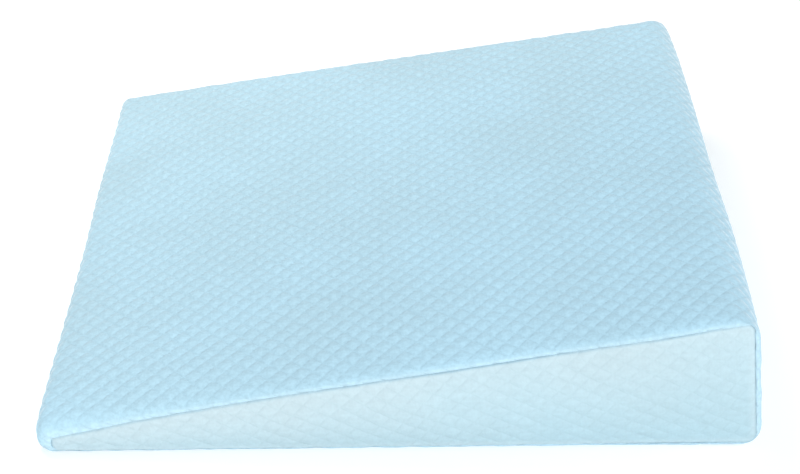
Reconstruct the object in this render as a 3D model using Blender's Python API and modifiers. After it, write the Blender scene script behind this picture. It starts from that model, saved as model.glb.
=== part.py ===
"""Wedge pillow: one filled wedge of foam in a knitted wrap, with a triangular
side panel set into each side.

Metres, +Z up. +X points to the thick end, the width runs along Y, and the
origin is under the middle of the pillow, on the surface that it rests on.
"""

import bpy
import bmesh
import numpy as np

# ---------------------------------------------------------------- dimensions
LENGTH = 0.600          # thin edge to the foot of the thick end
WIDTH = 0.600           # across the thick end
FLARE = 0.022           # how much wider the thin end is than the thick end
HEIGHT = 0.1258         # where the slope's line meets the thick end's line
NOSE_HEIGHT = 0.0255    # the thin edge, before its corners are rounded
END_LEAN = 0.013        # the thick end leans in by this much over its height

CROWN_SLOPE = 0.0034    # how far the slope puffs up in the middle
CROWN_END = 0.0048      # how far the thick end puffs out in the middle
SEAM_DEPTH = 0.0030     # how far the side seam lies in from the side's face
DOME_REACH = 0.030      # the side panel rises from its seam over this distance
PANEL_THICK = 0.0025    # the padded knit of a side panel
GAP = 0.0003            # between a side panel and what it is set into
CHANNEL_DEPTH = 0.0012  # the closing seam across the thick end

NOSE_SQUEEZE = 0.52     # the seam loop narrows towards the thin edge by this share
NOSE_REACH = 0.060      # and the narrowing fades over this distance

# Along the base the seam runs lower than its inset, except near the heel.
BASE_DROP = 0.0026      # how much lower
DROP_END = (0.440, 0.540)   # it fades out between these distances along
DROP_HEIGHT = 0.006     # and over this height

# Each side of the wedge's outline, and how far in from it the seam runs.
SIDES = {
    #        seam inset
    "base": 0.0035,
    "end": 0.0060,
    "slope": 0.0072,
    "nose": 0.0135,
}

# Each corner of the outline: its radius on the outside and along the seam.
CORNERS = {
    #             outer   seam
    "nose_base": (0.0116, 0.0080),
    "heel": (0.0190, 0.0080),
    "crest": (0.0240, 0.0090),
    "nose_top": (0.0116, 0.0045),
}

# The rolled edge of the wrap, from the seam's lip up on to the flat of the
# wrap: share of the seam's inset, and depth in from the side's face.
ROLL = (
    # inset  depth
    (1.00, SEAM_DEPTH),
    (0.86, 0.0020),
    (0.60, 0.0022),
    (0.32, 0.0040),
    (0.12, 0.0080),
    (0.04, 0.0140),
    (0.00, 0.0220),
)

# Rows of the wrap between the rolled edge and the middle of the width, as a
# share of the way.
ACROSS = (0.14, 0.38, 0.68, 1.0)

# Stations along the slope and the base, as a share of their length. They are
# close together where the outline's corners turn.
ALONG = (0, 0.006, 0.012, 0.020, 0.035, 0.060, 0.10, 0.16, 0.23, 0.31, 0.40,
         0.49, 0.58, 0.67, 0.76, 0.84, 0.90, 0.94, 0.965, 0.98, 0.99, 1.0)

# Stations up the thick end and the thin edge. The three in the middle are the
# closing seam's two shoulders and its channel.
UP = (0, 0.06, 0.12, 0.20, 0.33, 0.475, 0.50, 0.525, 0.67, 0.80, 0.88, 0.94, 1.0)
CHANNEL_STATION = 6

KNIT_BLUE = (0.52, 0.75, 0.86, 1.0)
SIDE_BLUE = (0.60, 0.80, 0.87, 1.0)


# ------------------------------------------------------------ the outline, XZ
def meet(line_a, line_b):
    """Where two lines cross, each given as a normal and an offset along it."""
    return np.linalg.solve(np.array([line_a[0], line_b[0]]),
                           np.array([line_a[1], line_b[1]]))


def inner_line(start, end, inset):
    """The line through two points, moved in by the inset. The outline runs
    anticlockwise, so its inside is on the left."""
    start, end = np.array(start), np.array(end)
    run = (end - start) / np.linalg.norm(end - start)
    normal = np.array([-run[1], run[0]])
    return normal, normal @ start + inset


def half_arcs(corner, before, after, radius):
    """A rounded corner as two arcs, split at its middle."""
    back = (before - corner) / np.linalg.norm(before - corner)
    ahead = (after - corner) / np.linalg.norm(after - corner)
    half = 0.5 * np.arccos(np.clip(back @ ahead, -1, 1))
    middle = (back + ahead) / np.linalg.norm(back + ahead)
    centre = corner + middle * radius / np.sin(half)
    first = corner + back * radius / np.tan(half) - centre
    sweep = np.pi - 2 * half
    turns = np.linspace(0, sweep, 17)
    cos, sin = np.cos(turns), np.sin(turns)
    points = centre + np.stack([first[0] * cos - first[1] * sin,
                                first[0] * sin + first[1] * cos], 1)
    return points[:9], points[8:]


def read_along(points, shares):
    """Points at these shares of a path's length."""
    steps = np.linalg.norm(np.diff(points, axis=0), axis=1)
    way = np.concatenate([[0], np.cumsum(steps)]) / steps.sum()
    return np.stack([np.interp(shares, way, points[:, n]) for n in (0, 1)], 1)


def fading(value, start, end):
    """1 before the start, 0 past the end, and smooth between them."""
    t = np.clip((value - start) / (end - start), 0, 1)
    return 1 - t * t * (3 - 2 * t)


def outline(share, extra=0.0):
    """The wedge's outline, moved in by a share of each side's seam inset, read
    at the stations. It gives the base, the end, the slope and the nose: the
    base and the slope run from thin to thick, the other two run upwards."""
    sharp = {"nose_base": (0.0, 0.0), "heel": (LENGTH, 0.0),
             "crest": (LENGTH - END_LEAN, HEIGHT), "nose_top": (0.0, NOSE_HEIGHT)}
    order = list(sharp)
    lines = [inner_line(sharp[order[n]], sharp[order[(n + 1) % 4]],
                        share * inset + extra)
             for n, inset in enumerate(SIDES.values())]
    corners = [meet(lines[n - 1], lines[n]) for n in range(4)]
    arcs = []
    for n, (outer, seam) in enumerate(CORNERS.values()):
        radius = outer + (seam - outer) * share - 0.5 * extra
        arcs.append(half_arcs(corners[n], corners[n - 1], corners[(n + 1) % 4], radius))
    base = np.concatenate([arcs[0][1], arcs[1][0]])
    end = np.concatenate([arcs[1][1], arcs[2][0]])
    slope = np.concatenate([arcs[2][1], arcs[3][0]])[::-1]
    nose = np.concatenate([arcs[3][1], arcs[0][0]])[::-1]
    floor = share * SIDES["base"] + extra
    paths = []
    for path, shares in ((base, ALONG), (end, UP), (slope, ALONG), (nose, UP)):
        path = read_along(path, shares)
        squeeze = 1 - share * NOSE_SQUEEZE * np.exp(-path[:, 0] / NOSE_REACH)
        path[:, 1] = floor + (path[:, 1] - floor) * squeeze
        path[:, 1] -= (share * BASE_DROP * fading(path[:, 0], *DROP_END)
                       * fading(path[:, 1] - floor, 0, DROP_HEIGHT))
        paths.append(path)
    return paths


def filled_in(paths):
    """The face inside an outline, blended from its four sides."""
    base, end, slope, nose = paths
    u = np.array(ALONG)[:, None, None]
    v = np.array(UP)[None, :, None]
    between = (1 - v) * base[:, None] + v * slope[:, None]
    between = between + (1 - u) * nose[None] + u * end[None]
    return between - ((1 - u) * (1 - v) * base[0] + u * (1 - v) * base[-1]
                      + (1 - u) * v * slope[0] + u * v * slope[-1])


# ------------------------------------------------------------- depths, across
def side_face(x):
    """Where the side's outer face lies, out from the middle of the width."""
    return WIDTH / 2 + FLARE / 2 * (1 - x / LENGTH)


def rise(distance):
    short = 1 - np.clip(distance / DOME_REACH, 0, 1)
    return 1 - short * short


def panel_depth(x, z):
    """How deep a side panel's outer face lies: deepest along its seam."""
    slope_z = NOSE_HEIGHT + (HEIGHT - NOSE_HEIGHT) * x / (LENGTH - END_LEAN)
    slope_z = slope_z - SIDES["slope"]
    floor = SIDES["base"]
    slope_z = floor + (slope_z - floor) * (1 - NOSE_SQUEEZE * np.exp(-x / NOSE_REACH))
    end_x = LENGTH - END_LEAN * z / HEIGHT - SIDES["end"]
    puff = (rise(z - floor) * rise(slope_z - z)
            * rise(end_x - x) * rise(x - SIDES["nose"]))
    return SEAM_DEPTH * (1 - puff)


def crown(share):
    """Flat along most of its way, and falling off at both ends."""
    return 1 - (2 * share - 1) ** 6


def middle_x():
    """Half way between the thin edge and the furthest point of the thick end."""
    base, end, slope, nose = outline(0.0)
    thick = end[:, 0] + CROWN_END * crown(np.array(UP))
    thick[CHANNEL_STATION] -= CHANNEL_DEPTH
    return 0.5 * (nose[:, 0].min() + max(thick.max(), base[:, 0].max()))


# -------------------------------------------------------------------- meshes
def station_block(stations):
    """A box of whole-number size, cut through at every whole number, so that
    each vertex stands for one station along, across and up."""
    block = bmesh.new()
    bmesh.ops.create_cube(block, size=1)
    bmesh.ops.translate(block, verts=block.verts, vec=(0.5, 0.5, 0.5))
    bmesh.ops.scale(block, verts=block.verts, vec=stations)
    for axis, count in enumerate(stations):
        normal = [float(n == axis) for n in range(3)]
        for station in range(1, count):
            bmesh.ops.bisect_plane(
                block, geom=block.verts[:] + block.edges[:] + block.faces[:],
                dist=1e-5, plane_no=normal,
                plane_co=[station * n for n in normal])
    return block


def finish(block, name, material, collection, centre):
    """Turns the placed block into a smooth-shaded object."""
    bmesh.ops.translate(block, verts=block.verts, vec=(-centre, 0, 0))
    bmesh.ops.recalc_face_normals(block, faces=block.faces)
    mesh = bpy.data.meshes.new(name)
    block.to_mesh(mesh)
    block.free()
    mesh.materials.append(material)
    mesh.shade_smooth()
    mesh.set_sharp_from_angle(angle=np.radians(50))
    item = bpy.data.objects.new(name, mesh)
    collection.objects.link(item)
    return item


def body(material, collection, centre):
    """The wrap and its filling: half of it, open at the middle of the width,
    and a Mirror for the other half."""
    rolls = [outline(share) for share, depth in ROLL]
    floor = filled_in(rolls[0])
    rows = [ROLL[0][1] + PANEL_THICK + GAP] + [depth for share, depth in ROLL]
    last = rows[-1]
    block = station_block((len(ALONG) - 1, len(rows) - 1 + len(ACROSS), len(UP) - 1))
    middle = len(rows) - 1 + len(ACROSS)

    # The open middle.
    bmesh.ops.delete(block, geom=[face for face in block.faces
                                  if face.calc_center_median().y > middle - 0.01],
                     context="FACES_ONLY")
    for vertex in block.verts:
        i, j, k = (int(round(c)) for c in vertex.co)
        edge = i in (0, len(ALONG) - 1) or k in (0, len(UP) - 1)
        if not edge:
            x, z = floor[i, k]
            depth = panel_depth(x, z) + PANEL_THICK + GAP
            vertex.co = (x, depth - side_face(x), z)
            continue
        base, end, slope, nose = rolls[max(min(j, len(rows) - 1) - 1, 0)]
        if k == 0:
            x, z = base[i]
        elif k == len(UP) - 1:
            x, z = slope[i]
        elif i == 0:
            x, z = nose[k]
        else:
            x, z = end[k]
        if j < len(rows):
            vertex.co = (x, rows[j] - side_face(x), z)
            across = 0.0
        else:
            share = ACROSS[j - len(rows)]
            start = last - side_face(x)
            vertex.co = (x, start * (1 - share), z)
            across = crown(0.5 * share)
        if k == len(UP) - 1:
            vertex.co.z += CROWN_SLOPE * across * crown(ALONG[i])
        elif i == len(ALONG) - 1 and k > 0:
            vertex.co.x += CROWN_END * across * crown(UP[k])
            if k == CHANNEL_STATION and j > 2:
                vertex.co.x -= CHANNEL_DEPTH
    item = finish(block, "filled_body", material, collection, centre)
    mirror = item.modifiers.new("other_half", "MIRROR")
    mirror.use_axis = (False, True, False)
    mirror.merge_threshold = 0.00005
    return item


def side_panel(name, side, material, collection, centre):
    """A padded sheet on the recess's floor, its edge just inside the seam."""
    face = filled_in(outline(1.0, GAP))
    block = station_block((len(ALONG) - 1, 1, len(UP) - 1))
    for vertex in block.verts:
        i, j, k = (int(round(c)) for c in vertex.co)
        x, z = face[i, k]
        depth = panel_depth(x, z) + j * PANEL_THICK
        vertex.co = (x, side * (side_face(x) - depth), z)
    return finish(block, name, material, collection, centre)


def knit(name, colour, roughness):
    material = bpy.data.materials.new(name)
    material.use_nodes = True
    shader = material.node_tree.nodes["Principled BSDF"]
    shader.inputs["Base Color"].default_value = colour
    shader.inputs["Roughness"].default_value = roughness
    shader.inputs["Metallic"].default_value = 0.0
    return material


def main():
    for item in list(bpy.data.objects):
        bpy.data.objects.remove(item, do_unlink=True)
    collection = bpy.data.collections.new("wedge_pillow")
    bpy.context.scene.collection.children.link(collection)

    # The outline is drawn from the thin edge, and then moved to its middle.
    centre = middle_x()

    body(knit("wrap_knit", KNIT_BLUE, 0.85), collection, centre)
    side_knit = knit("side_knit", SIDE_BLUE, 0.85)
    side_panel("side_panel_near", -1, side_knit, collection, centre)
    side_panel("side_panel_far", 1, side_knit.copy(), collection, centre)


main()
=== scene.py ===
"""Looks of the wedge pillow: a filled wedge in a puffed diamond knit wrap, with a
side panel of the same knit sewn into each side. Metres, in the frame's axes."""

import bpy
import bmesh
import numpy as np
from mathutils import Matrix, Vector


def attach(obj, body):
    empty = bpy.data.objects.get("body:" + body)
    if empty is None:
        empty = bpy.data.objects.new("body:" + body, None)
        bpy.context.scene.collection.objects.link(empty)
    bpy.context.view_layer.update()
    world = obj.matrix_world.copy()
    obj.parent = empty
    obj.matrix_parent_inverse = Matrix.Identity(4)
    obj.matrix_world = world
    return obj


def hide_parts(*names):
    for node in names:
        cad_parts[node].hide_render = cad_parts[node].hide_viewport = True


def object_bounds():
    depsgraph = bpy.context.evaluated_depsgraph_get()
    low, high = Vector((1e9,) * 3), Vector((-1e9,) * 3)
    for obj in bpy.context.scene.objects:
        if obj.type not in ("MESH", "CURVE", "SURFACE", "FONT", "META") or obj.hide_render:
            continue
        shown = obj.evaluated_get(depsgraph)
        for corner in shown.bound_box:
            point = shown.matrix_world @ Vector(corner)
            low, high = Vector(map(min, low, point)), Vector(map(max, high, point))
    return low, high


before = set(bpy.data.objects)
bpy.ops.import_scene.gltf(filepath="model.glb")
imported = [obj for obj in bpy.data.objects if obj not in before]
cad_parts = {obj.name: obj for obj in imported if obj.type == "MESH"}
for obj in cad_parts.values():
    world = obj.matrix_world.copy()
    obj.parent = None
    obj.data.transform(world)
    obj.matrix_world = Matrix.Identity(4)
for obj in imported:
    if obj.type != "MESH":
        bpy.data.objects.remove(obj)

cad_box = [list(corner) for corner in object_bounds()]

# ------------------------------------------------------------ sizes of the part
LENGTH, WIDTH, FLARE = 0.600, 0.600, 0.022
HEIGHT, NOSE_HEIGHT, END_LEAN = 0.1258, 0.0255, 0.013
CROWN_SLOPE, CROWN_END = 0.0034, 0.0048
NOSE_SQUEEZE, NOSE_REACH = 0.52, 0.060
DOME_REACH = 0.030
CHANNEL_DEPTH = 0.0012
SIDES = {"base": 0.0035, "end": 0.0060, "slope": 0.0059, "nose": 0.0135}
CORNERS = {"nose_base": (0.0116, 0.0080), "heel": (0.0190, 0.0080),
           "crest": (0.0240, 0.0055), "nose_top": (0.0116, 0.0045)}
BASE_DROP, DROP_END, DROP_HEIGHT = 0.0026, (0.440, 0.540), 0.006

# Along the slope the seam bows up a little from its inset: distance along, rise.
BOW = ((0.022, 0.0), (0.032, -0.0004), (0.085, 0.0005), (0.167, 0.0005), (0.249, 0.0),
       (0.338, -0.0008), (0.420, -0.0001), (0.508, -0.0014), (0.548, 0.0002), (0.565, 0.0))

# The rolled edge of the wrap in section, from its flat out to the seam's lip:
# share of the seam's inset, and depth in from the side's face.
ROLL = (
    # inset  depth
    (0.000, 0.0220),
    (0.006, 0.0165),
    (0.030, 0.0115),
    (0.095, 0.0074),
    (0.230, 0.0043),
    (0.430, 0.0025),
    (0.640, 0.0017),
    (0.800, 0.0015),
    (0.920, 0.0021),
    (1.000, 0.0042),
)
FLAT_DEPTH = ROLL[0][1]
LIP_DEPTH = 0.0088       # where the wrap turns in under the side panel's edge

# ------------------------------------------------------------------- the knit
DIAMOND_ALONG = 0.0177   # a diamond's diagonal along the slope
DIAMOND_ACROSS = 0.0192  # and across the width
PUFF = 0.00142           # how far a diamond stands above the lines round it
STEPS = 6                # grid steps to a diamond's diagonal


# ------------------------------------------------------------ the outline, XZ
def meet(line_a, line_b):
    return np.linalg.solve(np.array([line_a[0], line_b[0]]),
                           np.array([line_a[1], line_b[1]]))


def inner_line(start, end, inset):
    start, end = np.array(start), np.array(end)
    run = (end - start) / np.linalg.norm(end - start)
    normal = np.array([-run[1], run[0]])
    return normal, normal @ start + inset


def half_arcs(corner, before, after, radius):
    back = (before - corner) / np.linalg.norm(before - corner)
    ahead = (after - corner) / np.linalg.norm(after - corner)
    half = 0.5 * np.arccos(np.clip(back @ ahead, -1, 1))
    middle = (back + ahead) / np.linalg.norm(back + ahead)
    centre = corner + middle * radius / np.sin(half)
    first = corner + back * radius / np.tan(half) - centre
    turns = np.linspace(0, np.pi - 2 * half, 33)
    cos, sin = np.cos(turns), np.sin(turns)
    points = centre + np.stack([first[0] * cos - first[1] * sin,
                                first[0] * sin + first[1] * cos], 1)
    return points[:17], points[16:]


def smooth_step(x, low, high):
    t = np.clip((x - low) / (high - low), 0, 1)
    return t * t * (3 - 2 * t)


def outline(share, extra=0.0):
    """The wedge's outline moved in by a share of each side's seam inset, as four
    paths: base and slope from thin to thick, end and nose upwards."""
    sharp = {"nose_base": (0.0, 0.0), "heel": (LENGTH, 0.0),
             "crest": (LENGTH - END_LEAN, HEIGHT), "nose_top": (0.0, NOSE_HEIGHT)}
    order = list(sharp)
    lines = [inner_line(sharp[order[n]], sharp[order[(n + 1) % 4]],
                        share * inset + extra)
             for n, inset in enumerate(SIDES.values())]
    corners = [meet(lines[n - 1], lines[n]) for n in range(4)]
    arcs = []
    for n, (outer, seam) in enumerate(CORNERS.values()):
        radius = outer + (seam - outer) * share - 0.5 * extra
        arcs.append(half_arcs(corners[n], corners[n - 1], corners[(n + 1) % 4], radius))
    floor = share * SIDES["base"] + extra
    paths = {"base": np.concatenate([arcs[0][1], arcs[1][0]]),
             "end": np.concatenate([arcs[1][1], arcs[2][0]]),
             "slope": np.concatenate([arcs[2][1], arcs[3][0]])[::-1],
             "nose": np.concatenate([arcs[3][1], arcs[0][0]])[::-1]}
    # More points along the slope's straight run, for its bow.
    slope = paths["slope"]
    run = np.linspace(0, 1, 60)[1:-1, None]
    slope = np.concatenate([slope[:17], slope[16] + run * (slope[17] - slope[16]), slope[17:]])
    slope[:, 1] += share * np.interp(slope[:, 0], [row[0] for row in BOW],
                                     [row[1] for row in BOW])
    paths["slope"] = slope
    for path in paths.values():
        squeeze = 1 - share * NOSE_SQUEEZE * np.exp(-path[:, 0] / NOSE_REACH)
        path[:, 1] = floor + (path[:, 1] - floor) * squeeze
        path[:, 1] -= (share * BASE_DROP * (1 - smooth_step(path[:, 0], *DROP_END))
                       * (1 - smooth_step(path[:, 1] - floor, 0, DROP_HEIGHT)))
    return paths


def length_of(path):
    return np.linalg.norm(np.diff(path, axis=0), axis=1).sum()


def read_along(path, shares):
    steps = np.linalg.norm(np.diff(path, axis=0), axis=1)
    way = np.concatenate([[0], np.cumsum(steps)]) / steps.sum()
    return np.stack([np.interp(shares, way, path[:, n]) for n in (0, 1)], -1)


# The wrap goes once round from the closing seam in the middle of the thick end:
# up over the crest, down the slope, round the thin edge and back along the base.
ROUND = (
    # side    from  to
    ("end",   0.5, 1.0),
    ("slope", 1.0, 0.0),
    ("nose",  1.0, 0.0),
    ("base",  0.0, 1.0),
    ("end",   0.0, 0.5),
)
OUTSIDE = outline(0.0)
RUNS = np.array([length_of(OUTSIDE[side]) * abs(b - a) for side, a, b in ROUND])
STARTS = np.concatenate([[0], np.cumsum(RUNS)])
PERIMETER = STARTS[-1]


def ring(share, s):
    """Points of one ring of the wrap at these lengths round the outside."""
    paths = outline(share)
    points = np.zeros((len(s), 2))
    for n, (side, a, b) in enumerate(ROUND):
        here = (s >= STARTS[n]) & ((s < STARTS[n + 1]) | (n == len(ROUND) - 1))
        f = a + (b - a) * (s[here] - STARTS[n]) / RUNS[n]
        points[here] = read_along(paths[side], f)
    return points


def place_on(s):
    """Which side each length is on, and how far along that side."""
    n = np.clip(np.searchsorted(STARTS, s, side="right") - 1, 0, len(ROUND) - 1)
    a = np.array([row[1] for row in ROUND])[n]
    b = np.array([row[2] for row in ROUND])[n]
    return np.array([row[0] for row in ROUND])[n], a + (b - a) * (s - STARTS[n]) / RUNS[n]


def side_face(x):
    return WIDTH / 2 + FLARE / 2 * (1 - x / LENGTH)


def crown(share):
    return 1 - np.abs(2 * share - 1) ** 6


def lowness(x, z):
    """1 along the floor away from the heel, where the side panel comes down over
    the wrap's lip, and 0 elsewhere."""
    return (1 - smooth_step(x, *DROP_END)) * (1 - smooth_step(z, 0.0015, 0.0080))


# How hard the side seam pulls in, from the closing seam once round: hardest along
# the slope, and hardly at the heel.
PULL_AT = (0.0, STARTS[1] - 0.012, STARTS[1] + 0.020, STARTS[1] + 0.070, STARTS[1] + 0.120,
           STARTS[2] - 0.100, STARTS[2] - 0.030, STARTS[2], STARTS[3], STARTS[3] + 0.030,
           STARTS[4] - 0.120, STARTS[4] - 0.045, STARTS[4] - 0.015, STARTS[4] + 0.020,
           STARTS[4] + 0.040, PERIMETER)
PULL = (0.35, 0.35, 0.50, 0.95, 1.0, 0.85, 0.60, 0.45, 0.35, 0.30, 0.35, 0.30, 0.05, 0.05,
        0.30, 0.35)


def seam_pull(s):
    return np.interp(s, PULL_AT, PULL)


CENTRE = 0.5 * (cad_box[1][0] - cad_box[0][0])


# ------------------------------------------------------- smooth seeded variety
def soft_noise(a, b, scale, seed):
    """A smooth uneven field of about unit size over two lengths."""
    random = np.random.default_rng(seed)
    total = np.zeros(np.broadcast(a, b).shape)
    for _ in range(14):
        turn = random.uniform(0, 2 * np.pi)
        wave = 2 * np.pi / (scale * random.uniform(0.6, 1.8))
        total = total + np.sin((a * np.cos(turn) + b * np.sin(turn)) * wave
                               + random.uniform(0, 2 * np.pi))
    return total / np.sqrt(7)


def diamonds(a, b, seed, share_a=0.15, share_b=0.0):
    """The knit's relief at these phases, 0 in the lines and 1 on a diamond. The
    shares are how much of it is ridges between the lines of one phase alone."""
    cell_a, cell_b = np.floor(a).astype(int), np.floor(b).astype(int)
    table = np.random.default_rng(seed).uniform(0.66, 1.0, (97, 89))
    puff_a = 1 - np.abs(2 * (a - cell_a) - 1) ** 2.1
    puff_b = 1 - np.abs(2 * (b - cell_b) - 1) ** 2.1
    both = puff_a * puff_b
    return table[cell_a % 97, cell_b % 89] * (
        (1 - share_a - share_b) * both + share_a * puff_a + share_b * puff_b)


def surface_normals(points, closed):
    """Unit normals of a grid of points, for one that closes on itself along its
    first axis or not."""
    if closed:
        along = np.roll(points, -1, 0) - np.roll(points, 1, 0)
    else:
        along = np.gradient(points, axis=0)
    across = np.gradient(points, axis=1)
    normal = np.cross(along, across)
    return normal / np.maximum(np.linalg.norm(normal, axis=2, keepdims=True), 1e-12)


# ------------------------------------------------------------- the wrap's grid
class RolledEdge:
    """The roll's section by its length in from the seam, on the slope's side."""

    def __init__(self):
        table = np.array(ROLL)
        knots = np.concatenate([[0], np.cumsum(np.hypot(
            np.diff(table[:, 0]) * SIDES["slope"], np.diff(table[:, 1])))])
        fine = np.linspace(0, knots[-1], 240)
        slopes = np.gradient(table, knots, axis=0)
        n = np.clip(np.searchsorted(knots, fine, side="right") - 1, 0, len(knots) - 2)
        h = (knots[n + 1] - knots[n])[:, None]
        t = ((fine - knots[n]) / h[:, 0])[:, None]
        self.section = ((2 * t**3 - 3 * t**2 + 1) * table[n]
                        + (t**3 - 2 * t**2 + t) * h * slopes[n]
                        + (3 * t**2 - 2 * t**3) * table[n + 1]
                        + (t**3 - t**2) * h * slopes[n + 1])
        self.section[:, 0] = np.clip(self.section[:, 0], 0, 1)
        steps = np.hypot(np.diff(self.section[:, 0]) * SIDES["slope"],
                         np.diff(self.section[:, 1]))
        self.way = np.concatenate([[0], np.cumsum(steps)])
        self.length = self.way[-1]

    def at(self, from_flat):
        return [np.interp(from_flat, self.way, self.section[:, n]) for n in (0, 1)]


EDGE = RolledEdge()
HALF_FLAT = WIDTH / 2 - FLAT_DEPTH
HALF_WRAP = HALF_FLAT + EDGE.length      # from the middle out to the seam


def wrap_base(s, t, crowned=1.0):
    """The wrap with no knit on it, at lengths s round it and t across it, with
    this share of its crown."""
    points = np.zeros((len(s), len(t), 3))
    side, f = place_on(s)
    flat_ring = ring(0.0, s)
    for n, across in enumerate(t):
        beyond = abs(across) - HALF_FLAT
        if beyond <= 0:
            xz = flat_ring
            y = across / HALF_FLAT * (side_face(xz[:, 0]) - FLAT_DEPTH)
        else:
            share, depth = EDGE.at(beyond)
            xz = ring(float(share), s)
            if share > 0.8:
                depth = ROLL[7][1] + (depth - ROLL[7][1]) * seam_pull(s)
            depth = depth + 0.0020 * share * lowness(xz[:, 0], xz[:, 1])
            y = np.sign(across) * (side_face(xz[:, 0]) - depth)
        points[:, n, 0], points[:, n, 1], points[:, n, 2] = xz[:, 0], y, xz[:, 1]
    reach = crown(0.5 + 0.5 * np.clip(t / HALF_FLAT, -1, 1))
    for name, axis, height in (("slope", 2, CROWN_SLOPE), ("end", 0, CROWN_END)):
        here = side == name
        points[here, :, axis] += crowned * height * crown(f[here])[:, None] * reach
    points[:, :, 0] -= CENTRE
    return points


def cubic(values, at, axis, wraps):
    """Values of a regular grid read between its points along one axis."""
    values = np.moveaxis(values, axis, 0)
    last = len(values)
    n = np.floor(at).astype(int)
    f = (at - n).reshape((-1,) + (1,) * (values.ndim - 1))

    def tap(k):
        return values[(n + k) % last if wraps else np.clip(n + k, 0, last - 1)]

    p0, p1, p2, p3 = tap(-1), tap(0), tap(1), tap(2)
    out = p1 + 0.5 * f * (p2 - p0 + f * (2 * p0 - 5 * p1 + 4 * p2 - p3
                                         + f * (3 * (p1 - p2) + p3 - p0)))
    return np.moveaxis(out, 0, axis)


def grid_faces(columns, rows, closed):
    """Quads of a grid of points, numbered column by column."""
    c = np.arange(columns if closed else columns - 1)[:, None]
    r = np.arange(rows - 1)[None]
    d = (c + 1) % columns
    return np.stack([c * rows + r, d * rows + r, d * rows + r + 1, c * rows + r + 1],
                    -1).reshape(-1, 4)


def mesh_object(name, points, faces):
    mesh = bpy.data.meshes.new(name)
    mesh.from_pydata(np.asarray(points).reshape(-1, 3), [],
                     [tuple(int(v) for v in face) for face in faces])
    mesh.validate()
    item = bpy.data.objects.new(name, mesh)
    bpy.context.scene.collection.objects.link(item)
    return item


def point_values(item, name, values):
    attribute = item.data.attributes.new(name, "FLOAT", "POINT")
    attribute.data.foreach_set("value", np.asarray(values, np.float32).ravel())


def fabric_map(item, name, coordinates, whole=None):
    """A map of the flat cloth on the piece, in diamonds, by point. Where the cloth
    goes once round, whole is the number of diamonds round."""
    layer = item.data.uv_layers.new(name=name)
    loops = np.zeros(len(item.data.loops), np.int32)
    item.data.loops.foreach_get("vertex_index", loops)
    values = np.asarray(coordinates, np.float32)[loops]
    if whole:
        # Faces that close the round go on past its end, not back to its start.
        sizes = np.zeros(len(item.data.polygons), np.int32)
        item.data.polygons.foreach_get("loop_total", sizes)
        face = np.repeat(np.arange(len(sizes)), sizes)
        most = np.full(len(sizes), -1e9)
        np.maximum.at(most, face, values[:, 0])
        values[most[face] - values[:, 0] > whole / 2, 0] += whole
    layer.data.foreach_set("uv", values.ravel())


# ----------------------------------------------------------- cloth simulation
SIM_COLUMNS, SIM_ROWS = 96, 45
SIM_SHARE = 0.5          # the share of the crown that comes from it
CAP = 0.0060             # the furthest that the simulated cloth may move


def inflate(pressure=4.0, hold=0.24):
    """The wrap as a coarse sheet, blown up against its seams by Blender's cloth,
    with the foam behind it holding it lightly. It gives how far each place moves
    outwards, on a regular grid round and across."""
    s = np.arange(SIM_COLUMNS) * PERIMETER / SIM_COLUMNS
    t = np.linspace(-HALF_WRAP, HALF_WRAP, SIM_ROWS)
    start = wrap_base(s, t, 0.0)
    cage = mesh_object("sim_cage", start, grid_faces(SIM_COLUMNS, SIM_ROWS, True)[:, ::-1])
    side, f = place_on(s)
    held = np.full((SIM_COLUMNS, SIM_ROWS), hold)
    held[:, [0, -1]] = 1
    held[side == "base"] = 1
    group = cage.vertex_groups.new(name="held")
    for weight in np.unique(held[held > 0]):
        group.add([int(v) for v in np.flatnonzero(held.ravel() == weight)],
                  float(weight), "REPLACE")
    cloth = cage.modifiers.new("cloth", "CLOTH")
    cloth.settings.quality = 6
    cloth.settings.mass = 0.3
    cloth.settings.tension_stiffness = 20
    cloth.settings.compression_stiffness = 20
    cloth.settings.shear_stiffness = 8
    cloth.settings.bending_stiffness = 1.5
    cloth.settings.use_pressure = True
    cloth.settings.uniform_pressure_force = pressure
    cloth.settings.vertex_group_mass = "held"
    cloth.settings.pin_stiffness = 1.0
    cloth.settings.effector_weights.gravity = 0
    cloth.point_cache.frame_start, cloth.point_cache.frame_end = 1, 20
    for step in range(1, 21):
        bpy.context.scene.frame_set(step)
    graph = bpy.context.evaluated_depsgraph_get()
    blown = np.zeros(SIM_COLUMNS * SIM_ROWS * 3, np.float32)
    cage.evaluated_get(graph).data.vertices.foreach_get("co", blown)
    moved = blown.reshape(start.shape).astype(float) - start
    bpy.context.scene.frame_set(1)
    bpy.data.objects.remove(cage, do_unlink=True)
    out = (moved * -surface_normals(start, True)).sum(2)
    return CAP * np.tanh(np.maximum(out, 0) / CAP)


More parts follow.
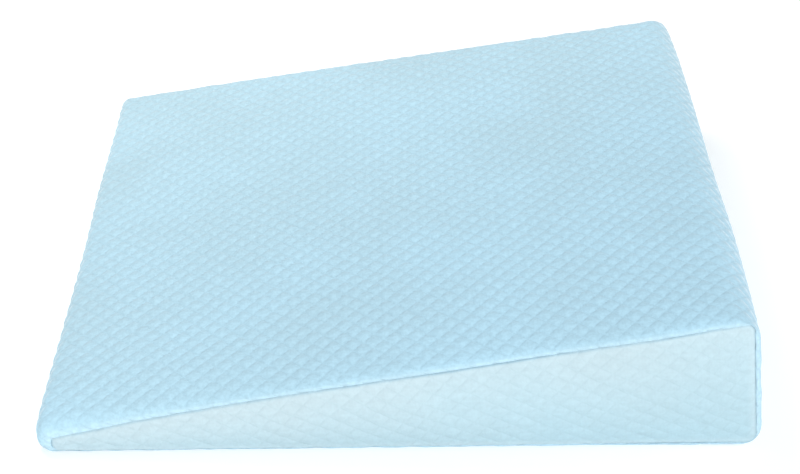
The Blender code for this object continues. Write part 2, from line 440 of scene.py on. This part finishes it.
# ------------------------------------------------------------------- the wrap
def make_wrap():
    columns = int(round(PERIMETER / (DIAMOND_ALONG / STEPS)))
    s = np.arange(columns) * PERIMETER / columns
    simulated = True
    step = DIAMOND_ACROSS / STEPS
    last = int((HALF_WRAP - 0.0026) / step)
    half = np.concatenate([np.arange(0, last + 1) * step,
                           HALF_WRAP - np.array([0.0018, 0.0011, 0.0006, 0.0])])
    t = np.concatenate([-half[:0:-1], half])
    points = wrap_base(s, t, 1 - SIM_SHARE * simulated)
    normals = -surface_normals(points, True)
    side, f = place_on(s)
    if simulated:
        moved = cubic(inflate(), s / PERIMETER * SIM_COLUMNS, 0, True)
        moved = cubic(moved, (t + HALF_WRAP) / (2 * HALF_WRAP) * (SIM_ROWS - 1), 1, False)
        grow = np.zeros(columns)
        for name, height in (("slope", CROWN_SLOPE), ("end", CROWN_END)):
            here = side == name
            most = np.percentile(moved[here], 90)
            grow[here] = height / max(most, 0.001)
        grow = np.convolve(np.concatenate([grow[-12:], grow, grow[:12]]),
                           np.ones(25) / 25, "valid")
        points = points + normals * (SIM_SHARE * grow[:, None] * moved)[..., None]

    # The knit: phases round and across, in whole diamonds, a little uneven.
    grid_s, grid_t = s[:, None], t[None, :]
    whole = round(PERIMETER / DIAMOND_ALONG)
    wander = 0.05 * soft_noise(grid_s, grid_t, 0.16, 3)
    phase_s = grid_s / PERIMETER * whole + wander
    phase_t = grid_t / DIAMOND_ACROSS + 0.05 * soft_noise(grid_s, grid_t, 0.19, 4)
    relief = diamonds(phase_s + phase_t, phase_s - phase_t, 11)
    from_seam = HALF_WRAP - np.abs(grid_t) + 0 * grid_s
    from_closing = np.minimum(grid_s, PERIMETER - grid_s) + 0 * grid_t
    fade = smooth_step(from_seam, 0.0015, 0.0075) * smooth_step(from_closing, 0.001, 0.006)
    resting = ((side == "base")[:, None] * smooth_step(f, 0.015, 0.05)[:, None]
               * smooth_step(1 - f, 0.015, 0.05)[:, None]
               * smooth_step(from_seam, 0.010, 0.022))
    near_floor = (side == "base")[:, None] * (1 - resting)
    turning = np.select([side == "nose", side == "end", side == "slope"],
                        [0.65, 0.65, 0.60 * smooth_step(f, 0.93, 0.985)
                         + 0.50 * (1 - smooth_step(f, 0.015, 0.050))], 0.0)
    turning = np.convolve(np.concatenate([turning[-9:], turning, turning[:9]]),
                          np.ones(19) / 19, "valid")[:, None]
    near_edge_calm = 1 - 0.7 * (1 - smooth_step(from_seam, 0.006, 0.036))
    height = (PUFF * fade * (relief - 0.42) * (1 - 0.6 * near_floor) * (1 - turning)
              * near_edge_calm)
    height = height * (1 - resting) + resting * 0.5 * PUFF * fade * (relief - 1.0)

    # The closing seam: a channel, deeper where its ends meet the side seams.
    end_notch = 1 - 0.88 * np.exp(-from_seam / 0.012)
    height -= CHANNEL_DEPTH * end_notch * np.exp(-(from_closing / 0.0022) ** 2)
    # Short puckers on both sides of it, and along the side seams.
    gathers = soft_noise(grid_t, 0 * grid_s, 0.016, 21)
    height += 0.00016 * gathers * np.exp(-((from_closing - 0.006) / 0.006) ** 2)
    gathers = soft_noise(grid_s, 0 * grid_t, 0.020, 22)
    height += 0.00018 * gathers * np.exp(-((from_seam - 0.007) / 0.006) ** 2) * (1 - resting)
    # The filling's slow unevenness.
    height += 0.00045 * soft_noise(grid_s, grid_t, 0.22, 23) * (1 - resting) * smooth_step(from_seam, 0.004, 0.05)
    points = points + normals * height[..., None]
    points[..., 2] = np.maximum(points[..., 2], 0.0)

    rows = len(t)
    faces = [tuple(face) for face in grid_faces(columns, rows, True)]
    # Each side goes on in under the side panel's edge, and is closed there.
    points = list(points.reshape(-1, 3))
    for end, sign in ((0, -1), (rows - 1, 1)):
        lip = np.arange(columns) * rows + end
        start = len(points)
        xz = ring(1.0, s)
        deep = np.stack([xz[:, 0] - CENTRE, sign * (side_face(xz[:, 0]) - LIP_DEPTH),
                         xz[:, 1]], 1)
        points += list(deep)
        inner = start + np.arange(columns)
        for c in range(columns):
            d = (c + 1) % columns
            quad = (lip[c], lip[d], inner[d], inner[c])
            faces.append(quad if sign > 0 else quad[::-1])
        cap = tuple(inner)
        faces.append(cap if sign > 0 else cap[::-1])
    item = mesh_object("wrap_cushion", np.array(points), faces)
    work = bmesh.new()
    work.from_mesh(item.data)
    wide = [face for face in work.faces if len(face.verts) > 4]
    bmesh.ops.triangulate(work, faces=wide, ngon_method="EAR_CLIP")
    bmesh.ops.recalc_face_normals(work, faces=work.faces)
    work.to_mesh(item.data)
    work.free()
    item.data.shade_smooth()

    extra = 2 * columns
    cloth = np.stack(np.broadcast_arrays(phase_s, phase_t), -1).reshape(-1, 2)
    lips = np.arange(columns) * rows
    fabric_map(item, "fabric", np.concatenate([cloth, cloth[lips], cloth[lips + rows - 1]]), whole)
    point_values(item, "seam", np.concatenate([from_seam.ravel(), np.zeros(extra)]))
    pull = np.repeat(seam_pull(s), rows)
    point_values(item, "pull", np.concatenate([pull, np.ones(extra)]))
    return item


# ------------------------------------------------------------ the side panels
PANEL_COLUMNS, PANEL_ROWS = 392, 74
PANEL_LIP = 0.0040       # depth of the panel's edge, down in the seam
PANEL_BACK = 0.0018      # how far the sheet's back lies behind its face
PANEL_TURN = np.radians(10.0)
PANEL_BULGE = 0.0062     # how far the panel bows out between its long seams

# Soft pulls across the side panel: where each starts, which way it runs, its
# length, its width and its height.
PULLS = (
    # x      z      turn   length width  height
    (0.330, 0.070, -24.0, 0.085, 0.010, 0.00022),
    (0.385, 0.079, -26.0, 0.110, 0.012, 0.00030),
    (0.440, 0.088, -27.0, 0.120, 0.012, 0.00034),
    (0.420, 0.062, -22.0, 0.100, 0.014, 0.00024),
    (0.495, 0.094, -30.0, 0.105, 0.013, 0.00030),
    (0.505, 0.060, -24.0, 0.080, 0.012, 0.00022),
    (0.270, 0.052, -20.0, 0.080, 0.010, 0.00018),
)


def near_edge(count, close):
    """Stations from 0 to 1, evenly spaced but closer at both ends."""
    even = np.linspace(0, 1, count - 2 * len(close))
    gap = even[1]
    ends = np.array(close) * gap
    return np.concatenate([[0], ends, even[1:-1], 1 - ends[::-1], [1]])


def make_panel(name, sign):
    along = near_edge(PANEL_COLUMNS, (0.25, 0.5))
    up = near_edge(PANEL_ROWS, (0.12, 0.28, 0.45, 0.65))
    paths = outline(1.0, 0.0002)
    u, v = along[:, None, None], up[None, :, None]
    base, slope = read_along(paths["base"], along), read_along(paths["slope"], along)
    nose, end = read_along(paths["nose"], up), read_along(paths["end"], up)
    xz = ((1 - v) * base[:, None] + v * slope[:, None]
          + (1 - u) * nose[None] + u * end[None]
          - ((1 - u) * (1 - v) * base[0] + u * (1 - v) * base[-1]
             + (1 - u) * v * slope[0] + u * v * slope[-1]))
    x, z = xz[..., 0], xz[..., 1]

    # How far each point is in from the seam, and where along the seam.
    s = np.linspace(0, PERIMETER, 1300, endpoint=False)
    seam = ring(1.0, s)
    flat = xz.reshape(-1, 2)
    distance, beside = np.zeros(len(flat)), np.zeros(len(flat))
    for start in range(0, len(flat), 4000):
        part = flat[start:start + 4000]
        away = ((part[:, None] - seam[None]) ** 2).sum(2)
        nearest = away.argmin(1)
        distance[start:start + 4000] = np.sqrt(away[np.arange(len(part)), nearest])
        beside[start:start + 4000] = s[nearest]
    distance, beside = distance.reshape(x.shape), beside.reshape(x.shape)

    short = 1 - np.clip(distance / DOME_REACH, 0, 1)
    low = lowness(x, z)
    depth = 0.0022 * short ** 2.2 * (1 - 0.45 * low)
    pull = seam_pull(beside)
    depth += (((PANEL_LIP - 0.0022) * pull + 0.0020 * low)
              * np.exp(-(distance / 0.0013) ** 1.5))
    tall = (slope[:, 1] - base[:, 1])[:, None] / HEIGHT
    low_first = up[None] ** 0.85
    bulge = PANEL_BULGE * tall * 4 * low_first * (1 - low_first)
    # It comes in to the short seams at both ends as well.
    bulge *= 1 - (1 - np.clip((x[-1].max() - x) / 0.075, 0, 1)) ** 2
    bulge *= 1 - (1 - np.clip((x - x[0].min()) / 0.040, 0, 1)) ** 2
    seed = 30 if sign < 0 else 60

    # The knit lies along the slope's edge.
    turn = PANEL_TURN
    p = x * np.cos(turn) + z * np.sin(turn)
    q = -x * np.sin(turn) + z * np.cos(turn)
    phase_p = p / 0.0195 + 0.07 * soft_noise(x, z, 0.11, seed + 1)
    phase_q = q / 0.0140 + 0.07 * soft_noise(x, z, 0.13, seed + 2)
    relief = diamonds(phase_p - phase_q, phase_p + phase_q, seed + 3, 0.05, 0.40)
    fade = smooth_step(distance, 0.0015, 0.008)
    height = 0.42 * PUFF * fade * (relief - 0.5) * (1 + 0.35 * soft_noise(x, z, 0.06, seed + 5))
    for px, pz, angle, reach, width, lift in PULLS:
        angle = np.radians(angle)
        run = ((x - px) * np.cos(angle) + (z - pz) * np.sin(angle)) / reach
        off = (-(x - px) * np.sin(angle) + (z - pz) * np.cos(angle)) / width
        shape = smooth_step(run, -0.15, 0.2) * (1 - smooth_step(run, 0.6, 1.15))
        height += 1.5 * lift * shape * (np.exp(-off ** 2) - 0.6 * np.exp(-(off - 1.4) ** 2))
    height += 0.00022 * soft_noise(beside, 0 * beside, 0.020, 22) * np.exp(-((distance - 0.006) / 0.006) ** 2)
    height += 0.00030 * soft_noise(x, z, 0.12, seed + 4) * smooth_step(distance, 0.004, 0.03)

    y = side_face(x) - depth + bulge + height
    face = np.stack([x - CENTRE, sign * y, z], -1)
    back_y = side_face(x) - depth + bulge - PANEL_BACK
    back = np.stack([x - CENTRE, sign * back_y, z], -1)

    columns, rows = x.shape
    front = grid_faces(columns, rows, False)
    behind = front[:, ::-1] + columns * rows
    rim = []
    border = ([(c, 0) for c in range(columns)] + [(columns - 1, r) for r in range(1, rows)]
              + [(c, rows - 1) for c in range(columns - 2, -1, -1)]
              + [(0, r) for r in range(rows - 2, 0, -1)])
    numbers = [c * rows + r for c, r in border]
    for a, b in zip(numbers, numbers[1:] + numbers[:1]):
        rim.append((b, a, a + columns * rows, b + columns * rows))
    faces = [tuple(face) for face in np.concatenate([front, behind])] + rim
    item = mesh_object(name, np.concatenate([face.reshape(-1, 3), back.reshape(-1, 3)]), faces)
    work = bmesh.new()
    work.from_mesh(item.data)
    bmesh.ops.recalc_face_normals(work, faces=work.faces)
    work.to_mesh(item.data)
    work.free()
    item.data.shade_smooth()
    item.data.set_sharp_from_angle(angle=np.radians(60))
    cloth = np.stack([phase_p, phase_q], -1).reshape(-1, 2)
    fabric_map(item, "fabric", np.concatenate([cloth, cloth]))
    point_values(item, "seam", np.concatenate([distance.ravel(), distance.ravel()]))
    point_values(item, "pull", np.concatenate([pull.ravel(), pull.ravel()]))
    return item


# ------------------------------------------------------------------ materials
class Nodes:
    """Short hands for a material's nodes."""

    def __init__(self, name):
        self.material = bpy.data.materials.new(name)
        self.material.use_nodes = True
        self.tree = self.material.node_tree
        self.shader = self.tree.nodes["Principled BSDF"]

    def link(self, a, b):
        self.tree.links.new(a, b)

    def add(self, kind, **values):
        node = self.tree.nodes.new(kind)
        for key, value in values.items():
            setattr(node, key, value)
        return node

    def math(self, operation, a, b=None, c=None):
        node = self.add("ShaderNodeMath", operation=operation)
        for n, value in enumerate((a, b, c)):
            if value is None:
                continue
            if isinstance(value, (int, float)):
                node.inputs[n].default_value = value
            else:
                self.link(value, node.inputs[n])
        return node.outputs[0]

    def mix(self, factor, a, b, blend="MIX"):
        node = self.add("ShaderNodeMix", data_type="RGBA", blend_type=blend)
        for socket, value in ((node.inputs[0], factor), (node.inputs[6], a), (node.inputs[7], b)):
            if isinstance(value, (int, float)):
                socket.default_value = value
            elif isinstance(value, tuple):
                socket.default_value = value
            else:
                self.link(value, socket)
        return node.outputs[2]

    def ramp(self, value, low, high, to_low=0.0, to_high=1.0):
        node = self.add("ShaderNodeMapRange", interpolation_type="SMOOTHSTEP")
        node.inputs[1].default_value, node.inputs[2].default_value = low, high
        node.inputs[3].default_value, node.inputs[4].default_value = to_low, to_high
        self.link(value, node.inputs[0])
        return node.outputs[0]


def knit_material(name, pale, deep, line_tone_and_shade_colour, rim_nap_and_highlight_colour, groove_shade_colour, line_share, puff, drag):
    """A matt puffed knit: sunken lines round each diamond, darker partly by their yarn and partly by painted shade,
    fine courses of stitches, a pale rim along the seams that is partly a stretched nap and partly a painted highlight,
    painted shade in the seams' grooves, a slow painted drift of light and shade, and a soft sheen. The puff is in
    metres, and the drag is how much the yarn is streaked by the cloth's stretch."""
    n = Nodes(name)
    coordinates = n.add("ShaderNodeUVMap", uv_map="fabric").outputs[0]
    split = n.add("ShaderNodeSeparateXYZ")
    n.link(coordinates, split.inputs[0])
    u, v = split.outputs[0], split.outputs[1]
    place = n.add("ShaderNodeTexCoord").outputs["Object"]

    def to_line(phase):
        """0 in the middle of a line, and 0.5 half way to the next one."""
        return n.math("PINGPONG", phase, 0.5)

    a, b = to_line(n.math("ADD", u, v)), to_line(n.math("SUBTRACT", u, v))
    line_a, line_b = n.ramp(a, 0.0, 0.15, 1, 0), n.ramp(b, 0.0, 0.13, 1, 0)
    lines = n.math("MAXIMUM", line_a, n.math("MULTIPLY", line_b, 0.85))

    # Fine courses of stitches, about 1.1 mm apart, with an uneven yarn.
    courses = n.add("ShaderNodeTexWave", wave_type="BANDS", bands_direction="DIAGONAL")
    stitch = n.add("ShaderNodeCombineXYZ")
    n.link(n.math("MULTIPLY", u, 16.0), stitch.inputs[0])
    n.link(n.math("MULTIPLY", n.math("PINGPONG", n.math("MULTIPLY", v, 17.0), 0.5), 1.6), stitch.inputs[1])
    n.link(stitch.outputs[0], courses.inputs["Vector"])
    courses.inputs["Scale"].default_value = 0.31
    courses.inputs["Distortion"].default_value = 0.6
    courses.inputs["Detail"].default_value = 1.0
    fibre = n.add("ShaderNodeTexNoise")
    n.link(place, fibre.inputs["Vector"])
    fibre.inputs["Scale"].default_value = 900.0
    fibre.inputs["Detail"].default_value = 3.0
    cloud = n.add("ShaderNodeTexNoise")
    n.link(place, cloud.inputs["Vector"])
    cloud.inputs["Scale"].default_value = 9.0
    cloud.inputs["Detail"].default_value = 2.0
    mottle = n.add("ShaderNodeTexNoise")
    n.link(place, mottle.inputs["Vector"])
    mottle.inputs["Scale"].default_value = 130.0
    mottle.inputs["Detail"].default_value = 2.0

    flecks = n.add("ShaderNodeTexNoise")
    n.link(place, flecks.inputs["Vector"])
    flecks.inputs["Scale"].default_value = 330.0
    flecks.inputs["Detail"].default_value = 1.0

    seam = n.add("ShaderNodeAttribute", attribute_name="seam").outputs["Fac"]
    # A pale rim along the seams, fading out by 8 mm from them: partly the stretched nap, partly a painted highlight
    # where the cloth rolls over.
    edge = n.ramp(seam, 0.0015, 0.0080, 1, 0)
    # Painted shade down in the seams' grooves, within about 2 mm of them.
    groove = n.ramp(seam, 0.0005, 0.0022, 1, 0)

    # Painted light and shade: the tint goes slowly from pale to deep, on the wrap from the far thin corner to the near
    # thick one, and on a side from its seam down to the base and a little from its thin end to its thick end, with a
    # slow random cloud over it.
    spot = n.add("ShaderNodeSeparateXYZ")
    n.link(place, spot.inputs[0])
    x, y, z = spot.outputs[0], spot.outputs[1], spot.outputs[2]
    if drag > 0:
        tall = n.math("MULTIPLY_ADD", x, 0.167, 0.0757)
        low = n.math("SUBTRACT", 1.0, n.math("DIVIDE", z, tall))
        painted_light_drift = n.math("MULTIPLY_ADD", x, 0.8, n.math("MULTIPLY_ADD", low, 0.786, 0.15))
    else:
        painted_light_drift = n.math("SUBTRACT", n.math("MULTIPLY_ADD", x, 0.667, 0.5), y)
    painted_light_drift = n.math("MULTIPLY_ADD", n.math("SUBTRACT", cloud.outputs["Fac"], 0.5), 0.6, painted_light_drift)
    ground = n.mix(n.ramp(painted_light_drift, -0.15, 1.15), pale, deep)
    # The sunken lines round each diamond are darker, partly the yarn's own tone and partly painted shade in the
    # creases.
    tint = n.mix(n.math("MULTIPLY", lines, line_share), ground, line_tone_and_shade_colour)
    tint = n.mix(n.math("MULTIPLY", edge, 0.45), tint, rim_nap_and_highlight_colour)
    # The groove's painted shade is a dark blue, strongest where the seam pulls in hardest and patchy along it.
    uneven = n.ramp(cloud.outputs["Fac"], 0.35, 0.65, 0.20, 0.60)
    pull = n.add("ShaderNodeAttribute", attribute_name="pull").outputs["Fac"]
    tint = n.mix(n.math("MULTIPLY", n.math("MULTIPLY", groove, pull), uneven), tint, groove_shade_colour)
    shade = n.ramp(cloud.outputs["Fac"], 0.3, 0.7, 0.975, 1.02)
    speck = n.ramp(mottle.outputs["Fac"], 0.25, 0.75, 0.985, 1.012)
    yarn = n.ramp(courses.outputs["Fac"], 0.0, 1.0, 0.993, 1.004)
    spread = 0.045 if drag == 0 else 0.020
    fleck = n.ramp(flecks.outputs["Fac"], 0.3, 0.7, 1 - spread, 1 + spread)
    value = n.math("MULTIPLY", n.math("MULTIPLY", shade, speck), n.math("MULTIPLY", yarn, fleck))
    if drag > 0:
        along, across = n.add("ShaderNodeMapping"), n.add("ShaderNodeTexNoise")
        along.inputs["Rotation"].default_value = (0, np.radians(-23.0), 0)
        along.inputs["Scale"].default_value = (60.0, 100.0, 330.0)
        n.link(place, along.inputs["Vector"])
        n.link(along.outputs[0], across.inputs["Vector"])
        across.inputs["Scale"].default_value = 1.0
        across.inputs["Detail"].default_value = 2.0
        streak = n.ramp(across.outputs["Fac"], 0.3, 0.7, 1 - drag, 1 + drag)
        value = n.math("MULTIPLY", value, streak)
    else:
        # Painted light: the wrap gets up to 5% brighter towards its far thick and near thin corners.
        value = n.math("MULTIPLY", value, n.ramp(n.math("MULTIPLY", x, y), 0.0, 0.07, 1.0, 1.05))
    scaled = n.add("ShaderNodeVectorMath", operation="SCALE")
    n.link(tint, scaled.inputs[0])
    n.link(value, scaled.inputs["Scale"])
    n.link(scaled.outputs[0], n.shader.inputs["Base Color"])

    rough = n.ramp(mottle.outputs["Fac"], 0.2, 0.8, 0.80, 0.94)
    n.link(rough, n.shader.inputs["Roughness"])
    n.shader.inputs["Specular IOR Level"].default_value = 0.25
    n.shader.inputs["Sheen Weight"].default_value = 0.40
    n.shader.inputs["Sheen Roughness"].default_value = 0.35
    n.shader.inputs["Sheen Tint"].default_value = (0.92, 0.97, 1.0, 1.0)

    def puffed(to_line_of):
        """1 in the middle between two lines, falling to 0 on them."""
        from_middle = n.math("SUBTRACT", 1.0, n.math("MULTIPLY", to_line_of, 2.0))
        return n.math("SUBTRACT", 1.0, n.math("POWER", from_middle, 2.2))

    relief = n.math("MULTIPLY", n.math("MULTIPLY", puffed(a), puffed(b)), puff)
    relief = n.math("ADD", relief, n.math("MULTIPLY", n.math("SUBTRACT", 1.0, lines), 0.00012))
    relief = n.math("ADD", relief, n.math("MULTIPLY", courses.outputs["Fac"], 0.00003))
    relief = n.math("ADD", relief, n.math("MULTIPLY", fibre.outputs["Fac"], 0.00008))
    bump = n.add("ShaderNodeBump")
    bump.inputs["Strength"].default_value = 1.0
    bump.inputs["Distance"].default_value = 1.0
    n.link(relief, bump.inputs["Height"])
    n.link(bump.outputs[0], n.shader.inputs["Normal"])
    return n.material


def plain_material(name, colour, roughness, glow):
    n = Nodes(name)
    n.shader.inputs["Base Color"].default_value = colour
    n.shader.inputs["Roughness"].default_value = roughness
    n.shader.inputs["Emission Color"].default_value = (1, 1, 1, 1)
    n.shader.inputs["Emission Strength"].default_value = glow
    return n.material


# ---------------------------------------------------------------------- build
wrap = make_wrap()
near = make_panel("side_cloth_near", -1)
far = make_panel("side_cloth_far", 1)

wrap.data.materials.append(knit_material(
    "wrap_knit_look", (0.458, 0.656, 0.743, 1), (0.417, 0.649, 0.785, 1), (0.35, 0.58, 0.71, 1), (0.54, 0.70, 0.77, 1),
    (0.20, 0.36, 0.46, 1), 0.15, 0.0007, 0.0))
side_look = knit_material(
    "side_knit_look", (0.531, 0.654, 0.701, 1), (0.405, 0.579, 0.655, 1), (0.38, 0.54, 0.61, 1), (0.52, 0.66, 0.72, 1),
    (0.20, 0.36, 0.46, 1), 0.10, 0.0003, 0.016)
for panel in (near, far):
    panel.data.materials.append(side_look)

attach(wrap, "root")
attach(near, "root")
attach(far, "root")
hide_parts("filled_body")
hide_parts("side_panel_near")
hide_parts("side_panel_far")

# ----------------------------------------------------------- floor and camera
floor = mesh_object("floor", [(-6, -6, 0), (6, -6, 0), (6, 6, 0), (-6, 6, 0)], [(0, 1, 2, 3)])
floor.location.z = -0.0002
floor.data.materials.append(plain_material("floor_look", (0.93, 0.93, 0.93, 1), 0.9, 0.17))

world = bpy.data.worlds.new("studio")
world.use_nodes = True
world.node_tree.nodes["Background"].inputs[0].default_value = (1.0, 1.0, 1.0, 1)
world.node_tree.nodes["Background"].inputs[1].default_value = 0.34
bpy.context.scene.world = world


def soft_light(name, place, aim, size, power, colour=(1, 1, 1)):
    light = bpy.data.lights.new(name, "AREA")
    light.shape = "RECTANGLE"
    light.size, light.size_y = size
    light.energy = power
    light.color = colour
    item = bpy.data.objects.new(name, light)
    item.location = place
    item.rotation_mode = "QUATERNION"
    item.rotation_quaternion = (Vector(aim) - Vector(place)).to_track_quat("-Z", "Y")
    bpy.context.scene.collection.objects.link(item)
    return item


soft_light("front_light", (0.25, -3.6, 2.35), (0, 0, 0.05), (0.9, 0.8), 112)
soft_light("top_light", (-0.60, 0.6, 1.25), (-0.30, 0.3, 0), (1.0, 0.8), 12)
soft_light("right_light", (2.2, -0.3, 0.8), (0.3, 0, 0.06), (1.4, 1.2), 14)

PITCH, YAW, ROLL_TURN = 0.52325, 0.008175, 0.005604
ahead = Vector((np.sin(YAW) * np.cos(PITCH), np.cos(YAW) * np.cos(PITCH), -np.sin(PITCH)))
right = Vector((np.cos(YAW), -np.sin(YAW), 0))
above = right.cross(ahead)
right, above = (np.cos(ROLL_TURN) * right + np.sin(ROLL_TURN) * above,
                -np.sin(ROLL_TURN) * right + np.cos(ROLL_TURN) * above)
camera_data = bpy.data.cameras.new("camera")
camera_data.sensor_width = 36
camera_data.lens = 36 * 1947.17 / 800
camera = bpy.data.objects.new("camera", camera_data)
turn = Matrix((right, above, -ahead)).transposed().to_4x4()
camera.matrix_world = Matrix.Translation((0.28733 - CENTRE, -1.30612 - WIDTH / 2, 0.95336)) @ turn
bpy.context.scene.collection.objects.link(camera)
bpy.context.scene.camera = camera
bpy.context.scene.view_settings.view_transform = "Standard"
